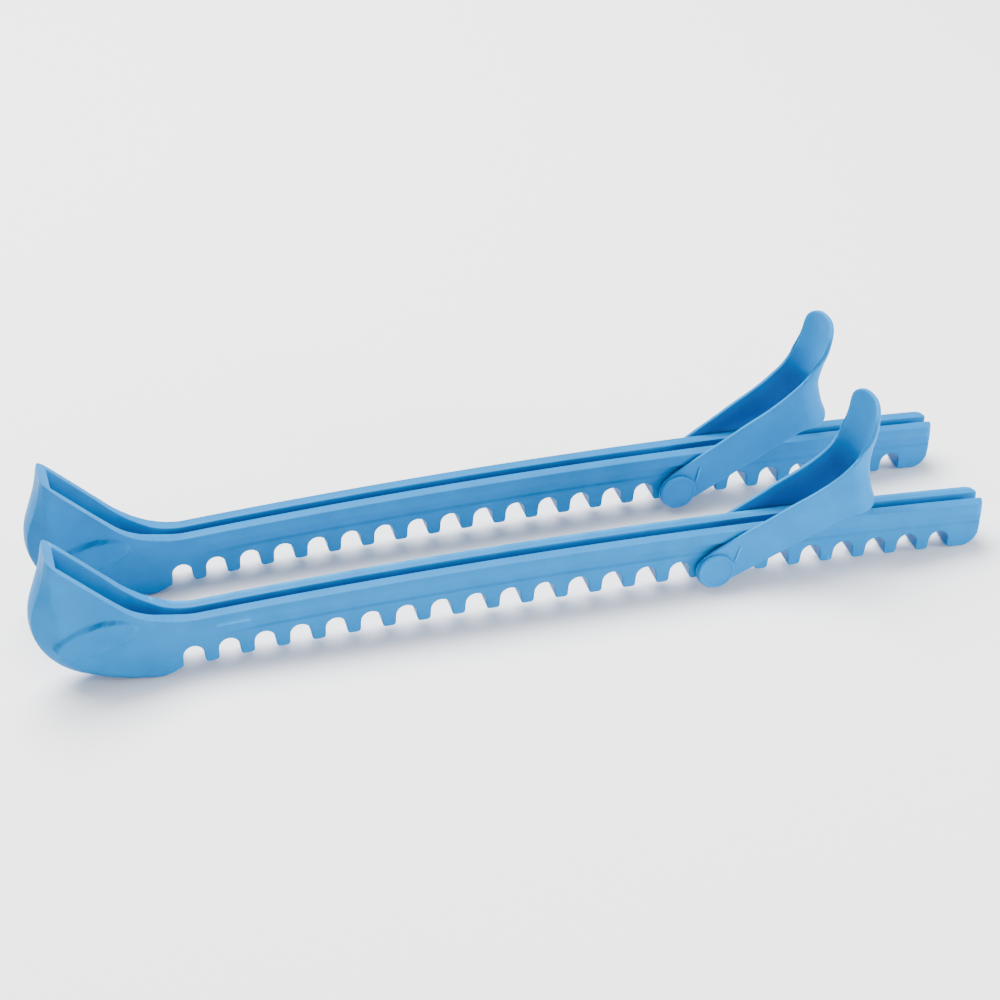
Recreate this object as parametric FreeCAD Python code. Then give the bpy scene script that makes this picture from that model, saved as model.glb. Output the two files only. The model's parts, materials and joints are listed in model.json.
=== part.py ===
"""Pair of ice skate blade guards: slotted, notched rails with an adjustable heel strap each.

Every guard is four pieces: the rail, the heel strap, the cross pin with its head, and the
cap pressed on the pin's far end.  Guard frame while modelling: X runs from the toe (0) to
the heel (GUARD_LENGTH), Y is across the blade slot, Z is up from the surface that the guard
stands on.  The finished pair is centred on the origin, with its base on Z = 0.
"""
import FreeCAD, Part
import math
import os

V = FreeCAD.Vector
ACROSS = V(0, 1, 0)

# ---- the pair
GUARD_LENGTH = 345.0
PAIR_SPACING = 52.4        # between the two blade slots, at the turning point
PAIR_STAGGER = 3.3         # the second guard lies this much further back
PAIR_YAW_DEG = 1.0         # and is turned a little, its toe towards the first
PAIR_TURN_X = 190.8        # about this point along it
PAIR_CENTRE = (174.2, 27.05)

STRAP_LIFT_DEG = 2.0       # the straps rest this much below and above the modelled slope

# of each guard: shift in X and Y, yaw, and how far its strap is swung up
GUARDS = {"a": (0, 0, 0, -STRAP_LIFT_DEG),
          "b": (PAIR_STAGGER, PAIR_SPACING, PAIR_YAW_DEG, STRAP_LIFT_DEG)}

# ---- the rail's section, heights measured up from the tooth line
RAIL_HEIGHT = 18.3
LIP_HALF = 6.3
LIP_BOTTOM = 13.9
WAIST_HALF = 5.2
WAIST_TOP = 13.3
LEDGE_TOP = 10.6
LEDGE_EDGE = 9.8
BAND_HALF = 5.8
TOOTH_HALF = 5.3
SLOT_HALF = 1.8
SLOT_FLOOR = 9.8
EDGE_ROUND = 0.5           # rounding of the lips' top edges

# ---- the rail is bowed upwards along its length
BOW_RADIUS = 2400.0        # of the tooth line
BOW_APEX_X = 173.0
HEEL_FOOT_X = 338.0        # where the heel end touches the ground
BOW_RISE = (HEEL_FOOT_X - BOW_APEX_X) ** 2 / (2 * BOW_RADIUS)
BOW_CENTRE = V(BOW_APEX_X, 0, BOW_RISE - BOW_RADIUS)

# ---- notches across the base
NOTCH_COUNT = 23
NOTCH_PITCH = 12.46
FIRST_NOTCH_X = 53.7
NOTCH_RADIUS = 3.65        # of the arched top
NOTCH_DEPTH = 7.72
MOUTH_HALF = 3.85
TOOTH_ROUND = 1.1
STRAP_NOTCH = 16           # the notch that the strap's pin sits in

# ---- toe scoop
PROW_RADIUS = 25.0
PROW_CENTRE = (25.0, 28.0)
PROW_UP_DEG = 18.4
PROW_DOWN_DEG = 72.0
TIP = (7.8, 54.2)
SHOE_START_X = 33.5        # the toe block stands on a short level shoe
SHOE_END_X = 39.5
RIM_SLOPE_END = (31.0, 31.2)
RIM_BLEND_MID = (41.6, 24.2)
RIM_BLEND_END_X = 56.0
FADE_END_X = 80.0          # the block's sides sink into the rail by here
FADE_END_HALF = 5.1
TOE_HALF = 9.3
CROWN_HALF = 3.0           # the prow and the base are level across this half width,
PROW_HALF = 5.7            # and fall away by PROW_FALL at the edges of the front strip
PROW_FALL = 1.2
TOE_BODY_HALF = 7.4
TROUGH_DEPTH = 0.8         # finger scoop, below the toe body's side
TROUGH_RADIUS = 14.0
TROUGH_OFFSET = 8.6        # below the rim, square to it
POCKET_START_X = 10.9      # front wall of the blade pocket, at the rim
POCKET_FLOOR = 9.0
POCKET_END_X = 48.0
POCKET_PLAN = ((0.0, 6.4), (26.0, 6.1), (34.0, 5.2), (40.0, 3.8), (45.0, 2.3), (49.0, SLOT_HALF))

# ---- oval pad on each side of the toe
PAD_CENTRE = (21.2, 20.1)
PAD_LONG = 14.5
PAD_SHORT = 5.8
PAD_TILT_DEG = 11.4
PAD_PROUD = 0.9
PAD_ROUND = 0.5

# ---- heel strap, a U-shaped band with a pull tab
STRAP_THICKNESS = 1.6
STRAP_INNER_PIN = 6.6      # half width between the legs, at the pin
STRAP_END_RADIUS = 7.0
STRAP_BOTTOM_Z = 26.0      # underside of the bend
STRAP_TOP_Z = 69.8
# up the bend and the tab: height, the back's x, outer half width where the bend begins, and
# the bend's depth from there to the back
BEND_PROFILE = ((-4.0, 302.0, 9.6, 10.0), (26.0, 302.5, 9.6, 10.0), (34.0, 300.2, 9.6, 10.0),
                (43.0, 298.8, 9.6, 10.0), (51.0, 300.0, 10.6, 8.2), (60.0, 301.5, 12.3, 5.6),
                (75.0, 300.6, 13.6, 4.2))
TAB_CORNER = ((13.7, 57.5), (11.2, 66.0), (4.0, STRAP_TOP_Z))    # seen from behind: y, z
# side outline of the band and tab: x, z
BAND_HEEL = (290.0, 25.6)
BEND_UNDER_X = 296.5
BAND_SHOULDER = (270.0, 33.2)
BAND_RISE = (278.5, 37.8)
TAB_ROOT = (286.2, 43.3)
TAB_RISE = (292.8, 52.0)
TAB_EDGE = ((296.0, 59.5), (296.9, 64.5))
BEHIND_STRAP_X = 310.0
# index line on the near leg
TICK_SIZE = (0.7, 0.9, 6.4)
TICK_PLACE = (248.9, 14.7)
TICK_LEAN_DEG = 16
TICK_SINK = 0.4

# ---- cross pin and its heads
PIN_RADIUS = 3.58          # a running fit in the notch's arch
HEAD_RADIUS = 6.7
HEAD_INNER = 8.45
HEAD_THICKNESS = 1.3
HEAD_ROUND = 0.4
SPIGOT_RADIUS = 1.9
SPIGOT_START = 6.9
SPIGOT_END = 9.3
EYELET_RADIUS = 3.63

REACH = 40.0               # half width of cutting tools, wider than any piece


# ---------------------------------------------------------------- helpers
def polyline(points, close=True):
    """Wire of straight runs through the points."""
    closed = points + [points[0]] if close else points
    return Part.makePolygon(closed)


def arc(a, b, c):
    """Edge of the circle through three points."""
    return Part.Arc(a, b, c).toShape()


def line(a, b):
    return Part.LineSegment(a, b).toShape()


def side(x, z):
    """A point of a side outline, in the guard's middle plane."""
    return V(x, 0, z)


def prism_across(wire, low, high):
    """Solid of a side outline, from Y = low to Y = high."""
    face = Part.Face(wire)
    face.translate(V(0, low, 0))
    return face.extrude(V(0, high - low, 0))


def mirrored(shape):
    """The same shape on the other side of the middle plane."""
    return shape.mirror(V(0, 0, 0), ACROSS)


def bow_angle(x):
    """Angle round the bow's centre, in degrees, of the tooth line at x."""
    return math.degrees(math.asin((x - BOW_APEX_X) / BOW_RADIUS))


def bow_height(x, above):
    """Height of the line that runs 'above' the tooth line, at x."""
    radius = BOW_RADIUS + above
    return BOW_CENTRE.z + math.sqrt(radius ** 2 - (x - BOW_APEX_X) ** 2)


def swept_along_bow(face, x_start, x_end):
    """Sweep a section face, drawn at the bow's apex, along the bow."""
    start, end = bow_angle(x_start), bow_angle(x_end)
    placed = face.copy()
    placed.rotate(BOW_CENTRE, ACROSS, start)
    return placed.revolve(BOW_CENTRE, ACROSS, end - start)


# ---------------------------------------------------------------- rail
def section_point(y, above):
    return V(BOW_APEX_X, y, BOW_RISE + above)


def rail_section():
    """Half section outline, mirrored and closed across the slot."""
    p = section_point
    r = EDGE_ROUND
    c = r * (1 - math.sqrt(0.5))
    top = RAIL_HEIGHT
    edges = []
    for s in (1, -1):
        outline = [p(0, 0), p(s * TOOTH_HALF, 0), p(s * BAND_HALF, LEDGE_EDGE),
                   p(s * WAIST_HALF, LEDGE_TOP), p(s * WAIST_HALF, WAIST_TOP),
                   p(s * LIP_HALF, LIP_BOTTOM), p(s * LIP_HALF, top - r)]
        edges += [line(a, b) for a, b in zip(outline, outline[1:])]
        edges.append(arc(outline[-1], p(s * (LIP_HALF - c), top - c), p(s * (LIP_HALF - r), top)))
        inner = [p(s * (LIP_HALF - r), top), p(s * SLOT_HALF, top),
                 p(s * SLOT_HALF, SLOT_FLOOR), p(0, SLOT_FLOOR)]
        edges += [line(a, b) for a, b in zip(inner, inner[1:])]
    return Part.Face(Part.Wire(Part.__sortEdges__(edges)))


def heel_outline():
    """Side outline that trims the rail: leaning end face with a rounded lower corner."""
    corner = [side(HEEL_FOOT_X - 0.5, 0), side(341.2, 1.25), side(343.4, 4.6)]
    edges = [arc(*corner),
             line(corner[2], side(GUARD_LENGTH, 17.7)),
             line(side(GUARD_LENGTH, 17.7), side(GUARD_LENGTH, 40)),
             line(side(GUARD_LENGTH, 40), side(40, 40)),
             line(side(40, 40), side(40, -8)),
             line(side(40, -8), side(corner[0].x, -8)),
             line(side(corner[0].x, -8), corner[0])]
    return Part.Wire(edges)


def heel_plan():
    """Plan outline that rounds the two outer corners of the heel end."""
    r = 3.0
    k = r * (1 - math.sqrt(0.5))
    x, y = GUARD_LENGTH, LIP_HALF
    edges = []
    for s in (1, -1):
        edges.append(line(V(40, 0, -10), V(40, s * y, -10)))
        edges.append(line(V(40, s * y, -10), V(x - r, s * y, -10)))
        edges.append(arc(V(x - r, s * y, -10), V(x - k, s * (y - k), -10), V(x, s * (y - r), -10)))
        edges.append(line(V(x, s * (y - r), -10), V(x, 0, -10)))
    face = Part.Face(Part.Wire(Part.__sortEdges__(edges)))
    return face.extrude(V(0, 0, 60))


def slot_tool():
    """The blade slot, long enough to open the toe block and the heel end."""
    p = section_point
    outline = [p(-SLOT_HALF, SLOT_FLOOR), p(SLOT_HALF, SLOT_FLOOR),
               p(SLOT_HALF, RAIL_HEIGHT + 8), p(-SLOT_HALF, RAIL_HEIGHT + 8)]
    return swept_along_bow(Part.Face(polyline(outline)), POCKET_END_X - 6, GUARD_LENGTH + 4)


def notch_tool(number):
    """One notch through the base, square to the bowed tooth line."""
    z0 = BOW_RISE
    shoulder = NOTCH_DEPTH - NOTCH_RADIUS
    m, t = MOUTH_HALF, TOOTH_ROUND

    def at(u, w):
        return side(BOW_APEX_X + u, z0 + w)

    left = [at(-m - t, -4), at(-m - t, -0.15)]
    edges = [line(*left),
             arc(at(-m - t, -0.15), at(-m - 0.3 * t, 0.3 * t), at(-m, t)),
             line(at(-m, t), at(-NOTCH_RADIUS, shoulder)),
             arc(at(-NOTCH_RADIUS, shoulder), at(0, NOTCH_DEPTH), at(NOTCH_RADIUS, shoulder)),
             line(at(NOTCH_RADIUS, shoulder), at(m, t)),
             arc(at(m, t), at(m + 0.3 * t, 0.3 * t), at(m + t, -0.15)),
             line(at(m + t, -0.15), at(m + t, -4)),
             line(at(m + t, -4), left[0])]
    tool = prism_across(Part.Wire(edges), -REACH, REACH)
    tool.rotate(BOW_CENTRE, ACROSS, bow_angle(notch_x(number)))
    return tool


def notch_x(number):
    return FIRST_NOTCH_X + NOTCH_PITCH * (number - 1)


# ---------------------------------------------------------------- toe
def prow_point(degrees, inset=0.0):
    """Point of the round prow, at an angle above (+) or below (-) its most forward point."""
    a = math.radians(degrees)
    r = PROW_RADIUS - inset
    return side(PROW_CENTRE[0] - r * math.cos(a), PROW_CENTRE[1] + r * math.sin(a))


def block_end_points():
    """Rear boundary of the toe block: from its lower corner, inside the rail, up to the rim."""
    foot_x = notch_x(1) - MOUTH_HALF
    return [side(foot_x, bow_height(foot_x, 0)),
            side(FADE_END_X, bow_height(FADE_END_X, 1.5)),
            side(FADE_END_X, bow_height(FADE_END_X, RAIL_HEIGHT - 2)),
            side(RIM_BLEND_END_X + 1, bow_height(RIM_BLEND_END_X + 1, RAIL_HEIGHT) - 0.1)]


def rim_run(from_point):
    """The toe's upper edge, from the rail's top back to the tip."""
    blend_end = side(RIM_BLEND_END_X, bow_height(RIM_BLEND_END_X, RAIL_HEIGHT))
    slope_end = side(*RIM_SLOPE_END)
    return [arc(blend_end, side(*RIM_BLEND_MID), slope_end), line(slope_end, from_point)]


def toe_outline(inset=0.0):
    """Side outline of the toe block, drawn in by 'inset' along the prow and the base."""
    ends = block_end_points()
    tip = side(*TIP)
    rise = V(0, 0, inset)
    shoe_start, shoe_end = side(SHOE_START_X, 0) + rise, side(SHOE_END_X, 0) + rise
    low = prow_point(-PROW_DOWN_DEG, inset)
    blend_end = side(RIM_BLEND_END_X, bow_height(RIM_BLEND_END_X, RAIL_HEIGHT))
    edges = [line(tip, prow_point(PROW_UP_DEG, inset)),
             arc(prow_point(PROW_UP_DEG, inset), prow_point(-25, inset), low),
             arc(low, side(25.2, 1.35) + rise, shoe_start),
             line(shoe_start, shoe_end),
             arc(shoe_end, side(44.6, 0.75) + rise * 0.6, ends[0])]
    edges += [line(a, b) for a, b in zip(ends, ends[1:])]
    return Part.Wire(edges + [line(ends[-1], blend_end)] + rim_run(tip))


def toe_flank_outline():
    """Side outline beyond the toe's widest: set back from the prow, so the cheeks slope."""
    ends = block_end_points()
    blend_end = side(RIM_BLEND_END_X, bow_height(RIM_BLEND_END_X, RAIL_HEIGHT))
    start, ridge_low, belly = side(9.6, 52.4), side(10.4, 36.0), side(20.5, 9.6)
    shoe_start, shoe_end = side(33.5, 3.6), side(39.5, 3.2)
    edges = [line(start, ridge_low),
             arc(ridge_low, side(11.9, 20.0), belly),
             arc(belly, side(26.6, 5.4), shoe_start),
             line(shoe_start, shoe_end),
             arc(shoe_end, side(44.6, 2.7), ends[0])]
    edges += [line(a, b) for a, b in zip(ends, ends[1:])]
    return Part.Wire(edges + [line(ends[-1], blend_end)] + rim_run(start))


def toe_plan():
    """Plan outline of the toe: full width behind the tip, drawn in to the rail's width."""
    half = [(-1.0, 8.0), (7.0, 8.0), (10.5, 9.0), (14.0, TOE_HALF), (28.0, TOE_HALF)]
    right = [V(x, y, -5) for x, y in half]
    edges = [line(a, b) for a, b in zip(right, right[1:])]
    neck, fade = V(43.0, 7.5, -5), V(57.0, 6.25, -5)
    end = V(FADE_END_X + 1, FADE_END_HALF, -5)
    edges.append(arc(right[-1], V(36.5, 8.7, -5), neck))
    edges.append(arc(neck, V(49.5, 6.7, -5), fade))
    edges.append(line(fade, end))
    edges.append(line(end, V(end.x, -1, -5)))
    edges.append(line(V(end.x, -1, -5), V(-1.0, -1, -5)))
    edges.append(line(V(-1.0, -1, -5), right[0]))
    one_side = Part.Face(Part.Wire(edges)).extrude(V(0, 0, 70))
    return one_side.fuse(mirrored(one_side))


def toe_core():
    """Middle slab with the two sloping flanks, before anything is cut."""
    core = prism_across(toe_outline(), -CROWN_HALF, CROWN_HALF)
    outlines = [(toe_outline(), CROWN_HALF), (toe_outline(PROW_FALL), PROW_HALF),
                (toe_flank_outline(), TOE_HALF + 1)]
    for outline, y in outlines:
        outline.translate(V(0, y, 0))
    flank = Part.makeLoft([outline for outline, _ in outlines], True, True)
    return core.fuse([flank, mirrored(flank)]).common(toe_plan())


def rim_frame():
    """Unit vectors along the sloping rim, downwards, and square to it, into the toe."""
    along = side(*RIM_SLOPE_END) - side(*TIP)
    along.normalize()
    inward = V(along.z, 0, -along.x)
    return along, inward


def finger_trough():
    """Round-bottomed trough below the rim, which thins the toe for the fingers."""
    along, inward = rim_frame()
    reach = TROUGH_RADIUS + TOE_BODY_HALF - TROUGH_DEPTH
    start = side(*TIP) + inward * TROUGH_OFFSET - along * 12 + V(0, reach, 0)
    trough = Part.makeCylinder(TROUGH_RADIUS, 40, start, along)
    ball = Part.makeSphere(TROUGH_RADIUS, start + along * 40)
    return trough.fuse(ball)


def flank_trim():
    """Everything outside the toe body's side, below the trough."""
    along, inward = rim_frame()
    corner = side(*TIP) + inward * TROUGH_OFFSET
    far = corner + along * 70
    points = [corner - along * 30, far, far + inward * 90, corner - along * 30 + inward * 90]
    return prism_across(polyline(points), TOE_BODY_HALF, REACH)


def pocket_tool():
    """Blade pocket in the toe: open at the top, narrowing into the slot."""
    top, heel = side(POCKET_START_X, 62), side(POCKET_START_X + 1.6, 24)
    floor_start = side(POCKET_START_X + 9, POCKET_FLOOR)
    floor_end = side(POCKET_END_X - 2, POCKET_FLOOR + 2.4)
    lid = side(POCKET_END_X, 62)
    edges = [line(top, heel),
             arc(heel, side(POCKET_START_X + 3.6, 14.4), floor_start),
             line(floor_start, floor_end),
             line(floor_end, lid),
             line(lid, top)]
    body = prism_across(Part.Wire(edges), -REACH, REACH)
    plan = [V(x, y, 0) for x, y in POCKET_PLAN] + [V(x, -y, 0) for x, y in reversed(POCKET_PLAN)]
    return body.common(Part.Face(polyline(plan)).extrude(V(0, 0, 70)))


def oval_pad():
    """Plain raised oval on one side of the toe."""
    pad = Part.Ellipse(V(0, 0, 0), PAD_LONG, PAD_SHORT).toShape()
    solid = Part.Face(Part.Wire(pad)).extrude(V(0, 0, 3 + PAD_PROUD))
    rim = [e for e in solid.Edges if abs(e.BoundBox.ZMin - 3 - PAD_PROUD) < 1e-6
           and abs(e.BoundBox.ZMax - 3 - PAD_PROUD) < 1e-6]
    solid = solid.makeFillet(PAD_ROUND, rim)
    solid.rotate(V(0, 0, 0), V(0, 0, 1), PAD_TILT_DEG)
    solid.rotate(V(0, 0, 0), V(1, 0, 0), 90)
    solid.translate(V(PAD_CENTRE[0], -TOE_BODY_HALF + 3, PAD_CENTRE[1]))
    return solid


def toe_block():
    core = toe_core()
    trough, trim, pad = finger_trough(), flank_trim(), oval_pad()
    core = core.cut([trough, mirrored(trough), trim, mirrored(trim)])
    return core.fuse([pad, mirrored(pad)]).cut(pocket_tool())


def rail():
    """The whole rail, in one piece with the toe block."""
    swept = swept_along_bow(rail_section(), notch_x(1) - MOUTH_HALF - 0.6, GUARD_LENGTH + 2)
    swept = swept.common(prism_across(heel_outline(), -REACH, REACH)).common(heel_plan())
    body = swept.fuse(toe_block()).cut(slot_tool())
    body = body.cut([notch_tool(n) for n in range(1, NOTCH_COUNT + 1)])
    return body.removeSplitter()


# ---------------------------------------------------------------- heel strap
def pin_centre():
    """Centre of the cross pin: the centre of its notch's arched top."""
    arch = side(BOW_APEX_X, BOW_RISE + NOTCH_DEPTH - NOTCH_RADIUS)
    turn = FreeCAD.Rotation(ACROSS, bow_angle(notch_x(STRAP_NOTCH)))
    return BOW_CENTRE + turn.multVec(arch - BOW_CENTRE)


def strap_section(z, back_x, bend_half, bend_depth):
    """Plan outline of the U-shaped band at height z: its legs run level past the pin's heads."""
    outer_pin = STRAP_INNER_PIN + STRAP_THICKNESS
    inner_bend = bend_half - STRAP_THICKNESS
    start_x = pin_centre().x - STRAP_END_RADIUS - 2
    level_x = pin_centre().x + HEAD_RADIUS + 1
    turn_x = back_x - bend_depth

    def at(x, y):
        return V(x, y, z)

    edges = [line(at(start_x, outer_pin), at(level_x, outer_pin)),
             line(at(level_x, outer_pin), at(turn_x, bend_half)),
             arc(at(turn_x, bend_half), at(back_x, 0), at(turn_x, -bend_half)),
             line(at(turn_x, -bend_half), at(level_x, -outer_pin)),
             line(at(level_x, -outer_pin), at(start_x, -outer_pin)),
             line(at(start_x, -outer_pin), at(start_x, -STRAP_INNER_PIN)),
             line(at(start_x, -STRAP_INNER_PIN), at(level_x, -STRAP_INNER_PIN)),
             line(at(level_x, -STRAP_INNER_PIN), at(turn_x, -inner_bend)),
             arc(at(turn_x, -inner_bend), at(back_x - STRAP_THICKNESS, 0), at(turn_x, inner_bend)),
             line(at(turn_x, inner_bend), at(level_x, STRAP_INNER_PIN)),
             line(at(level_x, STRAP_INNER_PIN), at(start_x, STRAP_INNER_PIN)),
             line(at(start_x, STRAP_INNER_PIN), at(start_x, outer_pin))]
    return Part.Wire(edges)


def strap_outline():
    """Side outline of the strap: round end, rising band, level bend and upswept tab."""
    c = pin_centre()

    def round_end(degrees):
        a = math.radians(degrees)
        return c + side(STRAP_END_RADIUS * math.cos(a), STRAP_END_RADIUS * math.sin(a))

    heel, shoulder, root = side(*BAND_HEEL), side(*BAND_SHOULDER), side(*TAB_ROOT)
    edge_low, edge_high = side(*TAB_EDGE[0]), side(*TAB_EDGE[1])
    corners = [heel, side(BEND_UNDER_X, STRAP_BOTTOM_Z), side(BEHIND_STRAP_X, STRAP_BOTTOM_Z),
               side(BEHIND_STRAP_X, STRAP_TOP_Z), side(edge_high.x, STRAP_TOP_Z), edge_high, edge_low]
    edges = [arc(round_end(118), round_end(209), round_end(-60)), line(round_end(-60), heel)]
    edges += [line(a, b) for a, b in zip(corners, corners[1:])]
    edges += [arc(edge_low, side(*TAB_RISE), root),
              arc(root, side(*BAND_RISE), shoulder),
              line(shoulder, round_end(118))]
    return Part.Wire(edges)


def tab_outline():
    """Everything inside the tab's rounded top corners, seen from behind."""
    right = [V(0, y, z) for y, z in TAB_CORNER]
    left = [V(0, -y, z) for y, z in TAB_CORNER]
    wide, low = 20.0, -10.0
    frame = [right[0], V(0, wide, right[0].z), V(0, wide, low), V(0, -wide, low),
             V(0, -wide, left[0].z), left[0]]
    edges = [line(a, b) for a, b in zip(frame, frame[1:])]
    edges += [arc(*left), line(left[2], right[2]), arc(*reversed(right))]
    return Part.Face(Part.Wire(edges)).extrude(V(GUARD_LENGTH, 0, 0))


def strap_tick():
    """Small moulded index line beside the pin's head, on the near leg."""
    wide, deep, tall = TICK_SIZE
    tick = Part.makeBox(wide, deep, tall, V(-wide / 2, -deep, -tall / 2))
    tick.rotate(V(0, 0, 0), ACROSS, TICK_LEAN_DEG)
    tick.translate(V(TICK_PLACE[0], TICK_SINK - STRAP_INNER_PIN - STRAP_THICKNESS, TICK_PLACE[1]))
    return tick


def strap():
    band = Part.makeLoft([strap_section(*level) for level in BEND_PROFILE], True, False)
    band = band.common(prism_across(strap_outline(), -REACH, REACH)).common(tab_outline())
    c = pin_centre()
    eyelets = Part.makeCylinder(EYELET_RADIUS, 2 * REACH, V(c.x, -REACH, c.z), ACROSS)
    return band.fuse(strap_tick()).cut(eyelets).removeSplitter()


# ---------------------------------------------------------------- cross pin and cap
def head_disc(inner_y, outward):
    """Round head with a softened outer edge, standing outwards from inner_y."""
    c = pin_centre()
    disc = Part.makeCylinder(HEAD_RADIUS, HEAD_THICKNESS, V(c.x, inner_y, c.z), V(0, outward, 0))
    face_y = inner_y + outward * HEAD_THICKNESS
    rim = [e for e in disc.Edges if abs(e.BoundBox.YMin - face_y) < 1e-6
           and abs(e.BoundBox.YMax - face_y) < 1e-6]
    return disc.makeFillet(HEAD_ROUND, rim)


def cross_pin():
    """Shaft with one head, and a spigot for the cap at the other end."""
    c = pin_centre()
    shaft = Part.makeCylinder(PIN_RADIUS, HEAD_INNER + SPIGOT_START, V(c.x, -HEAD_INNER, c.z), ACROSS)
    spigot = Part.makeCylinder(SPIGOT_RADIUS, SPIGOT_END - SPIGOT_START,
                               V(c.x, SPIGOT_START, c.z), ACROSS)
    return shaft.fuse([spigot, head_disc(-HEAD_INNER, -1)]).removeSplitter()


def pin_cap():
    """Second head: a disc and collar with a blind hole, pressed on the spigot."""
    c = pin_centre()
    collar = Part.makeCylinder(PIN_RADIUS, HEAD_INNER - SPIGOT_START, V(c.x, SPIGOT_START, c.z), ACROSS)
    hole = Part.makeCylinder(SPIGOT_RADIUS, SPIGOT_END - SPIGOT_START,
                             V(c.x, SPIGOT_START, c.z), ACROSS)
    return head_disc(HEAD_INNER, 1).fuse(collar).cut(hole).removeSplitter()


# ---------------------------------------------------------------- the pair
def main():
    os.makedirs("parts", exist_ok=True)
    pieces = {"rail": rail(), "heel_strap": strap(), "cross_pin": cross_pin(), "pin_cap": pin_cap()}
    for letter, (shift_x, shift_y, yaw, lift) in GUARDS.items():
        for name, shape in pieces.items():
            placed = shape.copy()
            if name != "rail":
                placed.rotate(pin_centre(), ACROSS, -lift)
            placed.rotate(V(PAIR_TURN_X, 0, 0), V(0, 0, 1), yaw)
            placed.translate(V(shift_x - PAIR_CENTRE[0], shift_y - PAIR_CENTRE[1], 0))
            node = f"{name}_{letter}"
            box = placed.optimalBoundingBox(False)
            print(f"{node}: solids {len(placed.Solids)} valid {placed.isValid()} volume {placed.Volume:.0f}"
                  f" box {box.XMin:.1f} {box.YMin:.1f} {box.ZMin:.2f} / {box.XMax:.1f} {box.YMax:.1f}"
                  f" {box.ZMax:.1f}")
            placed.exportStep(f"parts/{node}.step")
    c = pin_centre()
    print(f"pin centre in the guard frame: {c.x:.3f} {c.z:.3f}")


main()
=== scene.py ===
"""Looks for the pair of skate blade guards.

Finer meshes stand for all the CAD nodes.  Shapes are worked out in millimetres in a guard's own
frame: X from the toe (0) to the heel, Y across the blade slot, Z up from the floor.  Each guard's
place comes from its strap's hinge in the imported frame.
"""
import json
import math

import bmesh
import bpy
import numpy as np
from mathutils import Matrix, Vector


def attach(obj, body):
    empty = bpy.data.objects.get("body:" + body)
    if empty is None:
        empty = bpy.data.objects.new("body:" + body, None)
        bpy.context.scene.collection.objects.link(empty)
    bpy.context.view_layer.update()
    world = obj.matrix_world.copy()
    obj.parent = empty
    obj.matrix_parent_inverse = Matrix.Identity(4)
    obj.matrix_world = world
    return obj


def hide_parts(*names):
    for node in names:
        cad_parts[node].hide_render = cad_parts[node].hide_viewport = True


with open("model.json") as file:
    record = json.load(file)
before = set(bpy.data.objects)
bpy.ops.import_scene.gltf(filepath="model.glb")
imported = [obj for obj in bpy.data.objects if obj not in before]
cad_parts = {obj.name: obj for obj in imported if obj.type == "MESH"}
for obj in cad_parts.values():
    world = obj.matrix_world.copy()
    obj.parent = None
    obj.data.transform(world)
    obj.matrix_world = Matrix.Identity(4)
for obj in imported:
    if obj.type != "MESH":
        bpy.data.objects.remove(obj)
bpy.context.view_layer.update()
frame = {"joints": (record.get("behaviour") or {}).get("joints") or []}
MM = 0.001

# ---- rail, as in the CAD model
GUARD_LENGTH = 345.0
BOW_RADIUS = 2400.0
BOW_APEX_X = 173.0
BOW_APEX_Z = (338.0 - BOW_APEX_X) ** 2 / (2 * BOW_RADIUS)
RAIL_HEIGHT = 18.3
LIP_HALF = 6.3
SLOT_HALF = 1.8
SLOT_FLOOR = 9.8
NOTCH_COUNT = 23
NOTCH_PITCH = 12.46
FIRST_NOTCH_X = 53.7
NOTCH_RADIUS = 3.65
NOTCH_DEPTH = 7.72
MOUTH_HALF = 3.85
MOUTH_ROUND = 1.1
STRAP_NOTCH = 16
EDGE = 0.4                                   # softening of the rail's outer edges
HEEL_CORNER = ((337.5, 0.0), (341.2, 1.25), (343.4, 4.6))
HEEL_TOP = (345.0, 17.7)
HEEL_PLAN_ROUND = 3.0
BAND_TOP = 9.7
RAIL_PROFILE = ((-1.0, 5.3), (9.75, 5.8), (9.95, 5.72), (10.5, 5.27), (10.7, 5.2), (13.2, 5.2),
                (13.4, 5.27), (13.85, 6.2), (14.1, 6.3), (30.0, 6.3))
SIDE_ROWS = (9.85, 10.0, 10.5, 10.62, 10.85, 12.0, 13.15, 13.35, 13.5, 13.8, 13.95, 14.2, 16.0)

# ---- toe
TIP = (7.8, 54.2)
PROW_CENTRE = (25.0, 28.0)
PROW_RADIUS = 25.0
PROW_FALL = 1.2                              # crown of the front strip, over PROW_HALF
PROW_HALF = 5.7
RIM_SLOPE_END = (31.0, 31.2)
RIM_BLEND_MID = (41.6, 24.2)
RIM_BLEND_END_X = 56.0
BODY_HALF = 7.4
TROUGH_HALF = 6.5
TROUGH_AT = 8.6                              # below the rim
POCKET_START_X = 10.9
PAD_CENTRE = (21.2, 20.1)
PAD_LONG, PAD_SHORT = 14.5, 5.8
PAD_TILT = math.radians(11.4)
PAD_HALF = 8.3                               # half width over the two oval pads
PAD_STEP = 0.9                               # how wide the slope round a pad is
PAD_SPREAD = 0.15                            # share of that slope that lies outside the pad's outline
RIM_HALF = ((7.8, 6.0), (8.5, 7.5), (10.5, 8.9), (14.0, 9.3), (28.0, 9.3), (36.5, 8.7), (43.0, 7.5),
            (49.5, 6.75), (56.0, LIP_HALF), (60.0, LIP_HALF))
FLANK_HALF = ((40.0, 7.3), (49.5, 6.6), (57.0, 6.15), (80.0, 5.1), (90.0, 4.9))
POCKET_HALF = ((0.0, 6.4), (26.0, 6.1), (34.0, 5.2), (40.0, 3.8), (45.0, 2.3), (49.0, SLOT_HALF))
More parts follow.
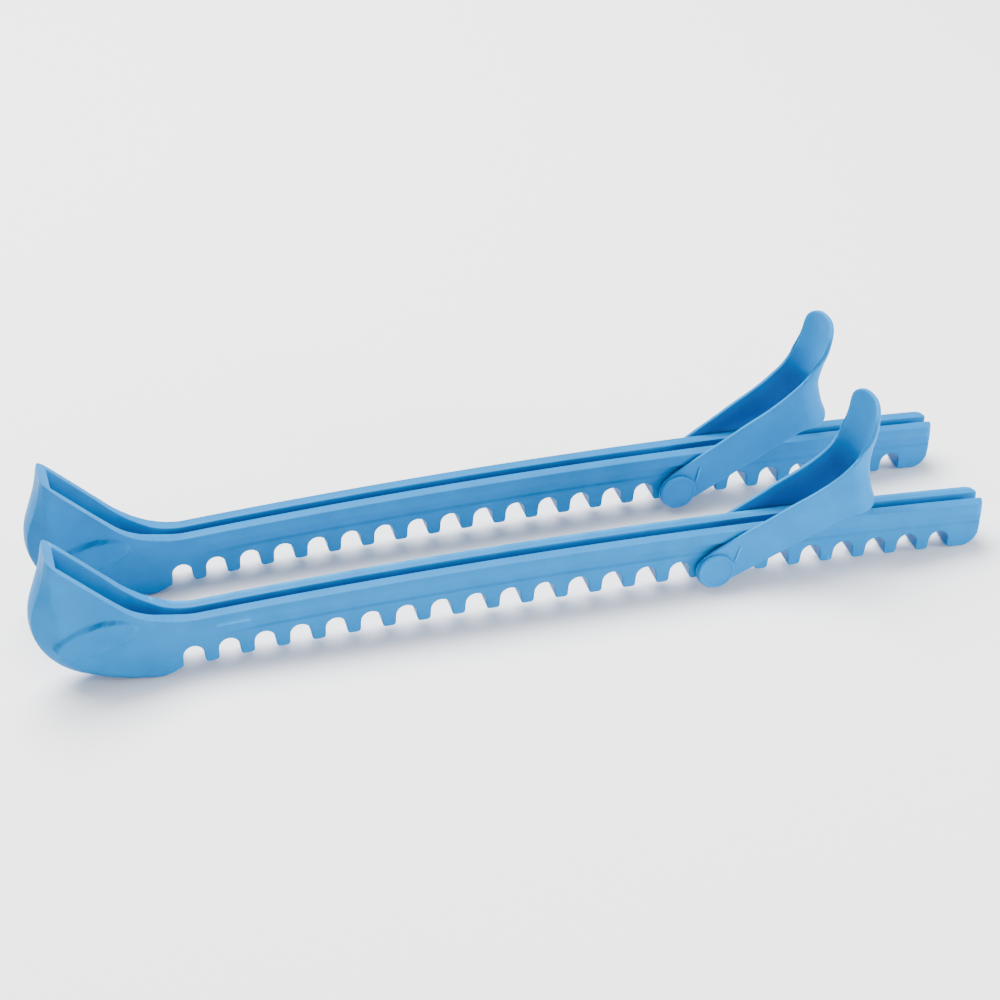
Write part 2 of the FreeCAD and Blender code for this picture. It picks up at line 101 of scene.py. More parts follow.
# along the prow from the tip (mm): half width of the front strip, width of the cheek beside it
# and half width at the ridge where the cheek ends
STRIP_HALF = ((0.0, 5.7), (12.0, 5.6), (26.0, 4.6), (40.0, 3.8), (52.0, 4.2), (66.0, 5.2), (86.0, 6.1))
CHEEK_WIDTH = ((0.0, 0.7), (5.0, 1.5), (10.0, 2.8), (15.0, 4.6), (21.0, 7.2), (28.0, 8.8), (38.0, 8.0),
               (50.0, 5.0), (66.0, 3.0), (86.0, 1.0))
RIDGE_HALF = ((0.0, 7.7), (8.0, 8.0), (24.0, 8.1), (34.0, 7.7), (44.0, BODY_HALF), (86.0, BODY_HALF))
BODY_TAPER = ((0.0, BODY_HALF), (34.0, BODY_HALF), (42.0, 7.2), (50.0, 6.6))    # by x
# where each change begins, and how long it takes
TROUGH_FADE_AT, TROUGH_FADE = 20, 24         # by the rim's x
CROWN_FADE_AT, CROWN_FADE = 66, 20           # along the prow
CROWN_START = 10                             # along the prow from the tip
CHEEK_ROUND_AT, CHEEK_ROUND = 24, 18         # along the prow
RAIL_JOIN_AT, RAIL_JOIN = 36, 12             # by x, the toe's side into the rail's
LIP_SWELL_AT, LIP_SWELL = 11.5, 4.5          # by height over the tooth line
RIM_LIFT_AT, RIM_LIFT = 13, 5.3              # by height over the tooth line
SCOOP_POWER = 1.9                            # how sharply the trough falls away from the rim
BODY_RETURN = 8.5                            # from the trough's bottom back out to the body
CHEEK_SPREAD = 5.5                           # how far the ridge beside the cheek spreads
RIDGE_SLOPE = 3
# radii that round the meetings of two surfaces
FLANK_BLEND = 0.25
HEEL_BLEND = 0.3
RIDGE_BLEND = 0.35
# the prow's outline in the side view
PROW_ARC_DEG = (18.4, -72.0)
CHIN = (25.2, 1.35)
SHOE = ((33.5, 0.0), (39.5, 0.0))            # the level patch that the toe rests on
SHOE_REAR = (44.2, 0.75)
TOE_END_MARGIN = 0.7                         # between the toe's end and the first notch's mouth
FALL_POINTS, FRONT_POINTS = 80, 220          # samples of the prow's fall from the tip, and its front

# ---- strap, pin and cap
PIN_Z = 8.788
STRAP_HALF_THICK = 0.8
STRAP_EDGE = 0.5
PIN_MID = 7.4                                # half width between the legs' middles at the pin
LEVEL_END_X = 248.4
STRAP_END_RADIUS = 7.0
EDGE_EASING = 5                              # rounds that ease the joins in the strap's edges
STRAP_BOTTOM_Z = 26.0
BEND_ARCH = 2.8                              # how far the bend's underside arches up
STRAP_TOP_Z = 69.8
LEAN_FROM_Z = 42                             # the tab's lean and droop grow from here up
# the strap's edges in the side view
TAB_HIGH, TAB_LOW = (296.9, 64.0), (296.0, 59.5)
TAB_CORNER_GAP = 1.5                         # between the tab's high point and its rounded corner
TAB_RISE = (292.8, 52.0)
TAB_ROOT = (286.2, 43.3)
BAND_RISE = (278.5, 37.8)
BAND_SHOULDER = (270.0, 33.2)
BEND_UNDER_X = 296.5
UNDER_LEVEL_X = 293.0
BAND_HEEL = (290.0, 25.6)
BAND_FALL = (286.0, 23.6)
BAND_UNDER = (274.5, 17.85)
# round end at the pin: where the upper and lower edges leave it, and the ends of its arc
TOP_EDGE_DEG, LOW_EDGE_DEG = 118, -60
END_HIGH_DEG, END_LOW_DEG = 162, -104
LINE_PLACE = (248.9, 14.7)
LINE_LEAN_DEG = 16
LINE_SIZE = (0.8, 0.8, 6.4)
LINE_SOFT = 0.18
# by height: the back's x, half width where the bend begins (band's middle), the bend's depth
BACK_X = ((-4.0, 302.0), (14.0, 302.4), (26.0, 302.5), (34.0, 300.2), (43.0, 298.8), (47.0, 299.3),
          (51.0, 300.0), (60.0, 301.5), (66.0, 301.6), (75.0, 300.6))
BEND_HALF = ((-4.0, 8.8), (43.0, 8.8), (51.0, 9.8), (60.0, 11.5), (66.0, 12.2), (75.0, 12.8))
BEND_DEPTH = ((-4.0, 9.2), (43.0, 9.2), (47.0, 8.7), (51.0, 7.5), (55.0, 6.0), (60.0, 4.9), (66.0, 4.2),
              (75.0, 3.6))
TAB_CORNER = ((13.7, 57.5), (11.2, 66.0), (4.0, STRAP_TOP_Z))    # seen from behind: y, z
PIN_RADIUS = 3.58
HEAD_RADIUS = 6.7
HEAD_INNER = 8.45
HEAD_OUTER = 9.75
SPIGOT_RADIUS = 1.9
SPIGOT_START = 6.9
SPIGOT_END = 9.3
EYELET_RADIUS = 3.63
EYELET_TOOL_HALF = 14                        # reaches past both legs
WELD = 0.004
SLIVER = 0.002


# ---------------------------------------------------------------- small maths
def smoothstep(t):
    t = np.clip(t, 0.0, 1.0)
    return t * t * (3 - 2 * t)


def soft_min(a, b, r):
    """The lesser of a and b, rounded where they meet."""
    h = np.clip(0.5 + 0.5 * (b - a) / r, 0, 1)
    return b + (a - b) * h - r * h * (1 - h)


def soft_max(a, b, r):
    return -soft_min(-a, -b, r)


def columns(points):
    return np.array([p[0] for p in points], float), np.array([p[1] for p in points], float)


def linear(points, x):
    return np.interp(x, *columns(points))


def through(points, x):
    """Smooth curve through (x, value) points, with no overshoot."""
    px, py = columns(points)
    step = np.diff(py) / np.diff(px)
    a, b = step[1:], step[:-1]
    slope = np.concatenate([[step[0]], np.where(a * b > 0, 2 * a * b / (a + b + 1e-12), 0), [step[-1]]])
    x = np.clip(x, px[0], px[-1])
    i = np.clip(np.searchsorted(px, x) - 1, 0, len(px) - 2)
    w = px[i + 1] - px[i]
    t = (x - px[i]) / w
    return ((2 * t**3 - 3 * t**2 + 1) * py[i] + (t**3 - 2 * t**2 + t) * w * slope[i]
            + (-2 * t**3 + 3 * t**2) * py[i + 1] + (t**3 - t**2) * w * slope[i + 1])


def arc_points(a, b, c, count):
    """Points along the circular arc from a, through b, to c."""
    (ax, ay), (bx, by), (cx, cy) = a, b, c
    d = 2 * (ax * (by - cy) + bx * (cy - ay) + cx * (ay - by))
    sa, sb, sc = ax * ax + ay * ay, bx * bx + by * by, cx * cx + cy * cy
    ux = (sa * (by - cy) + sb * (cy - ay) + sc * (ay - by)) / d
    uy = (sa * (cx - bx) + sb * (ax - cx) + sc * (bx - ax)) / d
    r = math.hypot(ax - ux, ay - uy)
    t0, t1, t2 = (math.atan2(p[1] - uy, p[0] - ux) for p in (a, b, c))
    turn = (t2 - t0) % (2 * math.pi)
    if (t1 - t0) % (2 * math.pi) > turn:
        turn -= 2 * math.pi
    t = t0 + turn * np.linspace(0, 1, count)
    return np.stack([ux + r * np.cos(t), uy + r * np.sin(t)], 1)


def lengths(path):
    """Distance along a polyline at each of its points."""
    return np.concatenate([[0], np.cumsum(np.linalg.norm(np.diff(path, axis=0), axis=1))])


def resample(path, shares):
    """Points of a polyline at the given shares of its length."""
    at = lengths(path)
    where = np.asarray(shares) * at[-1]
    return np.stack([np.interp(where, at, path[:, k]) for k in range(path.shape[1])], 1)


def nearest(points, path):
    """Distance of each point to a finely sampled path, and the index of the nearest sample."""
    best, index = [], []
    for start in range(0, len(points), 2000):
        d = np.linalg.norm(points[start:start + 2000, None] - path[None], axis=2)
        index.append(d.argmin(1))
        best.append(d.min(1))
    return np.concatenate(best), np.concatenate(index)


def coons(base, top, left, right):
    """Grid that fills four boundary curves; base and top run with the first index."""
    u = (lengths(top) / lengths(top)[-1])[:, None, None]
    v = (lengths(left) / lengths(left)[-1])[None, :, None]
    return ((1 - v) * base[:, None] + v * top[:, None] + (1 - u) * left[None] + u * right[None]
            - (1 - u) * (1 - v) * base[0] - u * (1 - v) * base[-1]
            - (1 - u) * v * top[0] - u * v * top[-1])


class HalfMesh:
    """One side's vertices and faces, in millimetres; 'mirrored' makes the whole."""

    def __init__(self):
        self.points = []
        self.faces = []

    def add(self, rows):
        """Adds a grid of points and returns their vertex numbers."""
        rows = np.asarray(rows, float)
        start = len(self.points)
        self.points.extend(rows.reshape(-1, 3).tolist())
        return np.arange(start, len(self.points)).reshape(rows.shape[:2])

    def grid(self, ids):
        """Quads over a grid of vertex numbers."""
        a, b, c, d = ids[:-1, :-1], ids[1:, :-1], ids[1:, 1:], ids[:-1, 1:]
        self.faces.extend(np.stack([a, b, c, d], -1).reshape(-1, 4).tolist())

    def zip(self, left, right):
        """Triangles between two chains of vertices that run the same way."""
        p, i, j = self.points, 0, 0
        while i < len(left) - 1 or j < len(right) - 1:
            more_left = math.dist(p[left[min(i + 1, len(left) - 1)]], p[right[j]])
            more_right = math.dist(p[left[i]], p[right[min(j + 1, len(right) - 1)]])
            if j == len(right) - 1 or (i < len(left) - 1 and more_left <= more_right):
                self.faces.append([left[i], right[j], left[i + 1]])
                i += 1
            else:
                self.faces.append([left[i], right[j], right[j + 1]])
                j += 1

    def mirrored(self, name, place, sharp_degrees=35):
        """Object of both halves, welded on the middle plane and put in its place."""
        points = np.array(self.points)
        other = points * [1, -1, 1]
        count = len(points)
        faces = self.faces + [[k + count for k in reversed(f)] for f in self.faces]
        mesh = bpy.data.meshes.new(name)
        mesh.from_pydata(np.concatenate([points, other]).tolist(), [], faces)
        work = bmesh.new()
        work.from_mesh(mesh)
        bmesh.ops.remove_doubles(work, verts=work.verts, dist=WELD)
        bmesh.ops.dissolve_degenerate(work, edges=work.edges, dist=SLIVER)
        bmesh.ops.recalc_face_normals(work, faces=work.faces)
        work.to_mesh(mesh)
        work.free()
        return shown(name, mesh, place, sharp_degrees)


def shown(name, mesh, place, sharp_degrees=35):
    """Links a mesh made in millimetres in a guard's frame, smooth but for its sharp edges."""
    mesh.transform(place)
    mesh.shade_smooth()
    mesh.set_sharp_from_angle(angle=math.radians(sharp_degrees))
    obj = bpy.data.objects.new(name, mesh)
    bpy.context.scene.collection.objects.link(obj)
    return obj


# ---------------------------------------------------------------- the bow
def bow(u, h):
    """Side-view point at distance u along the tooth line from the bow's apex, h above it."""
    a = np.asarray(u) / BOW_RADIUS
    r = BOW_RADIUS + np.asarray(h)
    return np.stack([BOW_APEX_X + r * np.sin(a), BOW_APEX_Z - BOW_RADIUS + r * np.cos(a)], -1)


def bow_u(x):
    return BOW_RADIUS * np.arcsin((np.asarray(x) - BOW_APEX_X) / BOW_RADIUS)


def bow_z(x, h):
    return BOW_APEX_Z - BOW_RADIUS + np.sqrt((BOW_RADIUS + h) ** 2 - (x - BOW_APEX_X) ** 2)


def height_over_bow(x, z):
    return np.hypot(x - BOW_APEX_X, z - (BOW_APEX_Z - BOW_RADIUS)) - BOW_RADIUS


def notch_u(number):
    return bow_u(FIRST_NOTCH_X + NOTCH_PITCH * (number - 1))


TOE_END_U = float(notch_u(1)) - MOUTH_HALF - MOUTH_ROUND - TOE_END_MARGIN
PIN_X = float(bow(notch_u(STRAP_NOTCH), NOTCH_DEPTH - NOTCH_RADIUS)[0])


# ---------------------------------------------------------------- toe outlines, side view
def rim_path():
    """The toe's upper edge, from the tip back to where it meets the rail's top."""
    end = (RIM_BLEND_END_X, float(bow_z(RIM_BLEND_END_X, RAIL_HEIGHT)))
    slope = np.linspace(TIP, RIM_SLOPE_END, 200)
    return np.concatenate([slope, arc_points(RIM_SLOPE_END, RIM_BLEND_MID, end, 160)[1:]])


def prow_path():
    """Front and base of the toe, from the tip down and back to the first notch."""
    cx, cz = PROW_CENTRE
    a = np.radians(np.linspace(*PROW_ARC_DEG, FRONT_POINTS))
    front = np.stack([cx - PROW_RADIUS * np.cos(a), cz + PROW_RADIUS * np.sin(a)], 1)
    down = np.linspace(TIP, front[0], FALL_POINTS)
    base = arc_points(front[-1], CHIN, SHOE[0], 60)
    shoe = np.linspace(*SHOE, 20)
    heel = arc_points(SHOE[1], SHOE_REAR, bow(TOE_END_U, 0.0), 50)
    return np.concatenate([down, front[1:], base[1:], shoe[1:], heel[1:]])


RIM = rim_path()
PROW = prow_path()
PROW_AT = lengths(PROW)
PROW_CORNER = FALL_POINTS + FRONT_POINTS - 2   # index in PROW where the front turns into the base


def crown_fall(y, along):
    """How far the crowned front strip falls in at half width y, at a distance along the prow."""
    return (PROW_FALL * (y / PROW_HALF) ** 2 * (1 - smoothstep((along - CROWN_FADE_AT) / CROWN_FADE))
            * smoothstep(along / CROWN_START))


def strip_path(y):
    """PROW drawn in by the crown's fall at half width y, which may vary along it."""
    way = np.gradient(PROW, axis=0)
    way /= np.linalg.norm(way, axis=1)[:, None]
    inward = np.stack([-way[:, 1], way[:, 0]], 1)
    return PROW + inward * crown_fall(y, PROW_AT)[:, None]


# ---------------------------------------------------------------- half widths
def edge_loss(distance, size=EDGE):
    """How much a softened edge takes off the half width, at a distance from the edge."""
    near = np.clip(1 - distance / size, 0, 1)
    return size * (1 - np.sqrt(1 - near * near))


def rail_half(x, h):
    """Half width of the rail's outer side; its groove runs out towards the toe."""
    width = soft_max(linear(RAIL_PROFILE, h), through(FLANK_HALF, x), FLANK_BLEND)
    lip = np.maximum(through(RIM_HALF, x), width)
    width = width + (lip - width) * smoothstep((h - LIP_SWELL_AT) / LIP_SWELL) * (x < RIM_HALF[-1][0])
    round_x = np.clip((x - (GUARD_LENGTH - HEEL_PLAN_ROUND)) / HEEL_PLAN_ROUND, 0, 1)
    plan = LIP_HALF - HEEL_PLAN_ROUND * (1 - np.sqrt(1 - round_x**2))
    return np.where(round_x > 0, soft_min(width, plan, HEEL_BLEND), width)


def pad_share(x, z):
    """1 on the oval pad, 0 beside it."""
    dx, dz = x - PAD_CENTRE[0], z - PAD_CENTRE[1]
    along = dx * math.cos(PAD_TILT) + dz * math.sin(PAD_TILT)
    across = -dx * math.sin(PAD_TILT) + dz * math.cos(PAD_TILT)
    e = np.sqrt((along / PAD_LONG) ** 2 + (across / PAD_SHORT) ** 2)
    reach = np.sqrt(along**2 + across**2) / np.maximum(e, 1e-6)
    return smoothstep((1.0 - e) * reach / PAD_STEP + PAD_SPREAD)


def toe_half(points):
    """Half width of the toe's outer side at side-view points."""
    x, z = points[:, 0], points[:, 1]
    w, i = nearest(points, PROW)
    q, j = nearest(points, RIM)
    t, rim_x = PROW_AT[i], RIM[j, 0]
    rim = through(RIM_HALF, rim_x)
    body = through(BODY_TAPER, x)
    low = body + (TROUGH_HALF - body) * (1 - smoothstep((rim_x - TROUGH_FADE_AT) / TROUGH_FADE))
    scoop = low + (rim - low) * (1 - np.clip(q / TROUGH_AT, 0, 1)) ** SCOOP_POWER
    beyond = low + (body - low) * smoothstep((q - TROUGH_AT) / BODY_RETURN)
    side = np.where(q < TROUGH_AT, scoop, beyond)
    strip, ridge = through(STRIP_HALF, t), through(RIDGE_HALF, t)
    reach = through(CHEEK_WIDTH, t)
    rise = (w - crown_fall(strip, t)) / reach
    beside = np.exp(-np.clip((w - reach) / CHEEK_SPREAD, 0, 9) ** 2)
    side = side + (np.maximum(ridge, side) - side) * beside
    flat = strip + (ridge - strip) * rise
    rounded = np.sin(np.clip(rise, 0, 1) * math.pi / 2)
    full = strip + (ridge - strip) * rounded + np.maximum(rise - 1, 0) * RIDGE_SLOPE
    cheek = flat + (full - flat) * smoothstep((t - CHEEK_ROUND_AT) / CHEEK_ROUND)
    width = soft_min(cheek, side, RIDGE_BLEND)
    joined = rail_half(x, height_over_bow(x, z))
    width = width + (joined - width) * smoothstep((x - RAIL_JOIN_AT) / RAIL_JOIN)
    width = width + (PAD_HALF - width) * pad_share(x, z)
    return width - edge_loss(q)


# ---------------------------------------------------------------- rail mesh
def pocket_floor(x):
    """Height of the blade pocket's front wall and floor."""
    s = POCKET_START_X
    wall = arc_points((s + 1.6, 24.0), (s + 3.6, 14.4), (s + 9, 9.0), 40)
    path = np.concatenate([[(s, 60.0), (s + 0.06, 50.0)], wall, [(46.0, 11.4), (48.0, 12.15), (60.0, 13.0)]])
    return np.interp(x, path[:, 0], path[:, 1])


def over_the_rim(x, top_z, top_y, floor_z, inner):
    """Rows from the top edge over the rim and down into the pocket or slot, to the middle."""
    drop = np.maximum(top_z - floor_z, 0)
    deep = top_z - drop
    y = np.minimum(inner, top_y - 0.6)
    soft = np.minimum(0.35, drop * 0.4)
    rows = [(y + 0.4 * (top_y - y), top_z), (y + 0.4, top_z), (y + 0.12, top_z - 0.25 * soft),
            (y, top_z - soft), (y, top_z - soft - (drop - soft) * 0.35),
            (y, top_z - soft - (drop - soft) * 0.75), (y, deep + np.minimum(0.5, drop * 0.2)),
            (y - np.minimum(0.5, drop), deep), (y * 0.4, deep), (y * 0.0, deep)]
    return [np.stack([x, across, z], 1) for across, z in rows]


def toe(mesh):
    """Toe: outer side, front strip and base, rim and pocket.  Returns its rear ring."""
    end = bow(TOE_END_U, RAIL_HEIGHT)[0]
    rim_x = np.concatenate([[7.8, 7.95, 8.3, 8.8, 9.4, 10.1, 10.9, 11.0, 11.3, 11.7, 12.2, 12.8],
                            np.linspace(13.5, end, 58)])
    top = np.stack([rim_x, np.interp(rim_x, RIM[:, 0], RIM[:, 1])], 1)
    v = np.concatenate([[0, 0.008, 0.025], np.linspace(0.045, 0.96, 62), [0.975, 0.987, 0.995, 1]])
    edge = strip_path(through(STRIP_HALF, PROW_AT))
    left = resample(edge[:PROW_CORNER + 1][::-1], v)
    base = resample(edge[PROW_CORNER:], lengths(top) / lengths(top)[-1])
    right = resample(np.array([base[-1], top[-1]]), v)
    grid = coons(base, top, left, right)
    half = toe_half(grid.reshape(-1, 2)).reshape(grid.shape[:2])
    side = mesh.add(np.stack([grid[..., 0], half, grid[..., 1]], -1))
    mesh.grid(side)
    ring = np.concatenate([side[0, ::-1], side[1:, 0]])
    ring_points = np.array([mesh.points[k] for k in ring])
    match = nearest(ring_points[:, [0, 2]], edge)[1]
    rows = [ring]
    for part in (0.94, 0.7, 0.36, 0.0):
        y = ring_points[:, 1] * part
        path = strip_path(through(STRIP_HALF, PROW_AT) * part)[match]
        rows.append(mesh.add([np.stack([path[:, 0], y, path[:, 1]], 1)])[0])
    mesh.grid(np.array(rows))
    rim = np.array([mesh.points[k] for k in side[:, -1]])
    x, y, z = rim[:, 0], rim[:, 1], rim[:, 2]
    inner = mesh.add(over_the_rim(x, z, y, pocket_floor(x), linear(POCKET_HALF, x)))
    mesh.grid(np.concatenate([[side[:, -1]], inner]))
    return [r[-1] for r in rows[::-1]] + list(side[-1, 1:]) + list(inner[:, -1])


def tooth_line():
    """Notches and teeth from the first notch to the last: (u, h) points of the base line, and
    each one's evened-out u for the rows above."""
    m, t, r = MOUTH_HALF, MOUTH_ROUND, NOTCH_RADIUS
    shoulder = NOTCH_DEPTH - r
    a = np.radians([0, 45, 90])
    corner = np.stack([-m - t + t * np.sin(a), t - t * np.cos(a)], 1)
    wall = np.linspace((-m, t), (-r, shoulder), 3)[1:]
    b = np.radians(np.linspace(0, 90, 5))[1:]
    arch = np.stack([-r * np.cos(b), shoulder + r * np.sin(b)], 1)
    half = np.concatenate([corner, wall, arch])
    weights = np.concatenate([np.full(2, 0.35), np.full(2, 0.35), np.full(4, 0.62)])
    spread = np.concatenate([[0], np.cumsum(np.linalg.norm(np.diff(half, axis=0), axis=1) * weights)])
    spread = -spread[-1] + spread
    notch = np.concatenate([half, half[-2::-1] * [-1, 1]])
    above = np.concatenate([spread, -spread[-2::-1]])
    line, even = [], []
    for number in range(1, NOTCH_COUNT + 1):
        centre = float(notch_u(number))
        line.append(notch + [centre, 0])
        even.append(above + centre)
        if number < NOTCH_COUNT:
            line.append([[centre + NOTCH_PITCH / 2, 0]])
            even.append([centre + NOTCH_PITCH / 2])
    return np.concatenate(line), np.concatenate(even)


def heel_end_x(z):
    """The x of the heel's end face at a height."""
    corner = arc_points(*HEEL_CORNER, 40)
    path = np.concatenate([corner, [HEEL_TOP, (HEEL_TOP[0], 60.0)]])
    return np.interp(z, path[:, 1], path[:, 0])


def base_points():
    """Side-view base line, its normals, the u of each column before the heel, and the share
    of the way to the heel's end face of each later column."""
    line, even = tooth_line()
    start = line[-1, 0]
    foot = float(bow_u(HEEL_CORNER[0][0]))
    line = np.concatenate([line, [[start + (foot - start) * 0.5, 0]]])
    flat = bow(line[:, 0], line[:, 1])
    flat = np.concatenate([flat, arc_points(*HEEL_CORNER, 9)])
    along = np.gradient(flat, axis=0)
    along /= np.linalg.norm(along, axis=1)[:, None]
    normals = np.stack([-along[:, 1], along[:, 0]], 1)
    return flat, normals, even, np.linspace(0, 1, len(flat) - len(even) + 1)[1:] ** 0.6


def rail(mesh):
    """Notched rail from the first notch to the heel end.  Returns its front ring."""
    flat, normals, even, heel_share = base_points()
    count = len(flat)

    def row_at(height):
        """Side-view points of a row at a height above the tooth line."""
        p = bow(even, height)
        rise = np.where(p[:, 0] < RIM_BLEND_END_X,
                        np.interp(p[:, 0], RIM[:, 0], RIM[:, 1]) - bow_z(p[:, 0], RAIL_HEIGHT), 0)
        p[:, 1] += np.maximum(rise, 0) * smoothstep((height - RIM_LIFT_AT) / RIM_LIFT)
        z = float(bow_z(GUARD_LENGTH - 4, height))
        heel_x = p[-1, 0] + (heel_end_x(z) - p[-1, 0]) * heel_share
        return np.concatenate([p, np.stack([heel_x, bow_z(heel_x, height)], 1)])

    band = row_at(BAND_TOP)
    half_band = rail_half(flat[:, 0], height_over_bow(flat[:, 0], flat[:, 1]))
    rows = [(flat, half_band * 0), (flat, half_band * 0.5), (flat, half_band * 0.86)]
    inner = flat + normals * EDGE
    for degrees in (0, 35, 65, 90):
        a = math.radians(degrees)
        p = flat + normals * EDGE * (1 - math.cos(a))
        rows.append((p, rail_half(p[:, 0], height_over_bow(p[:, 0], p[:, 1])) - EDGE * (1 - math.sin(a))))
    for share in (0.33, 0.66, 1.0):
        p = inner + (band - inner) * share
        rows.append((p, rail_half(p[:, 0], height_over_bow(p[:, 0], p[:, 1]))))
    for height in SIDE_ROWS:
        p = row_at(height)
        rows.append((p, rail_half(p[:, 0], np.full(count, height))))
    for depth, loss in ((0.42, 0.0), (0.2, 0.06), (0.06, 0.2), (0.0, EDGE)):
        p = row_at(RAIL_HEIGHT)
        rows.append((p - [0, depth], rail_half(p[:, 0], np.full(count, RAIL_HEIGHT)) - loss))
    points = []
    for p, half in rows:
        x = np.where(np.arange(count) == count - 1, heel_end_x(p[:, 1]), p[:, 0])
        points.append(np.stack([x, half, p[:, 1]], 1))
    top = points[-1]
    floor = bow_z(top[:, 0], SLOT_FLOOR)
    pocket = np.maximum(linear(POCKET_HALF, top[:, 0]), SLOT_HALF)
    points += over_the_rim(top[:, 0], top[:, 2], top[:, 1], floor, pocket)
    ids = mesh.add(points)
    mesh.grid(ids)
    outer = len(rows)
    mesh.zip(list(ids[:outer, -1]), list(ids[outer - 1:, -1][::-1]))
    return list(ids[:, 0])


def guard_rail(name, place):
    mesh = HalfMesh()
    rear = toe(mesh)
    front = rail(mesh)
    mesh.zip(rear, front)
    return mesh.mirrored(name, place)


# ---------------------------------------------------------------- strap
def bend_arc(z):
    """The bend's circle at height z, through the band's middle: centre x, radius, half angle."""
    half, depth = through(BEND_HALF, z), through(BEND_DEPTH, z)
    radius = (half**2 + depth**2) / (2 * depth)
    return through(BACK_X, z) - STRAP_HALF_THICK - radius, radius, np.arctan2(half, radius - depth)


def around(x, z):
    """Distance round the bend, from the back's middle to the place whose side view is (x, z)."""
    centre, radius, angle = bend_arc(z)
    turned = np.arccos(np.clip((x - centre) / radius, -1, 1))
    turn_x = centre + radius * np.cos(angle)
    return np.where(turned < angle, turned * radius, radius * angle + turn_x - x)


def band_place(p, z, out):
    """Points at distance p round the band, height z, and 'out' from the band's middle."""
    centre, radius, angle = bend_arc(z)
    turned = np.clip(p / radius, 0, angle)
    leg = np.maximum(p - radius * angle, 0)
    turn_x, half = centre + radius * np.cos(angle), radius * np.sin(angle)
    splay = (half - PIN_MID) * np.clip(leg / (turn_x - LEVEL_END_X), 0, 1)
    x = centre + (radius + out) * np.cos(turned) - leg
    return np.stack([x, (radius + out) * np.sin(turned) - splay, z], -1)


def strap_edges():
    """Upper and lower edge and round end of the strap in (p, z), from the back forward."""
    def end_arc(start, stop, count):
        a = np.radians(np.linspace(start, stop, count))
        return np.stack([PIN_X + STRAP_END_RADIUS * np.cos(a), PIN_Z + STRAP_END_RADIUS * np.sin(a)], 1)

    def run(points, count):
        """An evenly sampled piece of edge, given in the side view, as (p, z)."""
        path = resample(np.array(points, float), np.linspace(0, 1, count))
        return np.stack([around(path[:, 0], path[:, 1]), path[:, 1]], 1)

    corner = arc_points(*TAB_CORNER, 60)[::-1]
    corner = corner[corner[:, 1] > TAB_HIGH[1] + TAB_CORNER_GAP]
    radius = bend_arc(corner[:, 1])[1]
    edge_top = [[float(around(np.array(TAB_HIGH[0]), np.array(TAB_HIGH[1]))), TAB_HIGH[1]]]
    corner = np.stack([np.arcsin(corner[:, 0] / radius) * radius, corner[:, 1]], 1)
    corner = np.concatenate([corner, edge_top])
    corner = resample(corner, np.linspace(0, 1, 10))
    upper = [np.stack([np.linspace(0, corner[0, 0], 9), np.full(9, STRAP_TOP_Z)], 1), corner,
             run([TAB_HIGH, TAB_LOW], 4), run(arc_points(TAB_LOW, TAB_RISE, TAB_ROOT, 40), 16),
             run(arc_points(TAB_ROOT, BAND_RISE, BAND_SHOULDER, 40), 12),
             run([BAND_SHOULDER, end_arc(TOP_EDGE_DEG, TOP_EDGE_DEG, 1)[0]], 14),
             run(end_arc(TOP_EDGE_DEG, END_HIGH_DEG, 20), 5)]
    level = STRAP_BOTTOM_Z
    turn_p = float(around(np.array(BEND_UNDER_X), np.array(level)))
    around_bend = np.linspace(0, turn_p, 15)
    under = [np.stack([around_bend, level + BEND_ARCH * np.cos(around_bend / turn_p * math.pi / 2) ** 2], 1),
             run([(BEND_UNDER_X, level), (UNDER_LEVEL_X, level)], 7),
             run([(UNDER_LEVEL_X, level), BAND_HEEL, BAND_FALL], 16),
             run([BAND_FALL, BAND_UNDER], 12),
             run([BAND_UNDER, end_arc(LOW_EDGE_DEG, LOW_EDGE_DEG, 1)[0]], 14),
             run(end_arc(LOW_EDGE_DEG, END_LOW_DEG, 20), 5)]
    upper = np.concatenate([upper[0]] + [part[1:] for part in upper[1:]])
    under = np.concatenate([under[0]] + [part[1:] for part in under[1:]])
    for _ in range(EDGE_EASING):
        upper[1:-1] = (upper[:-2] + 2 * upper[1:-1] + upper[2:]) / 4
        under[1:-1] = (under[:-2] + 2 * under[1:-1] + under[2:]) / 4
    return upper, under, run(end_arc(END_LOW_DEG, END_HIGH_DEG - 360, 40), 16)


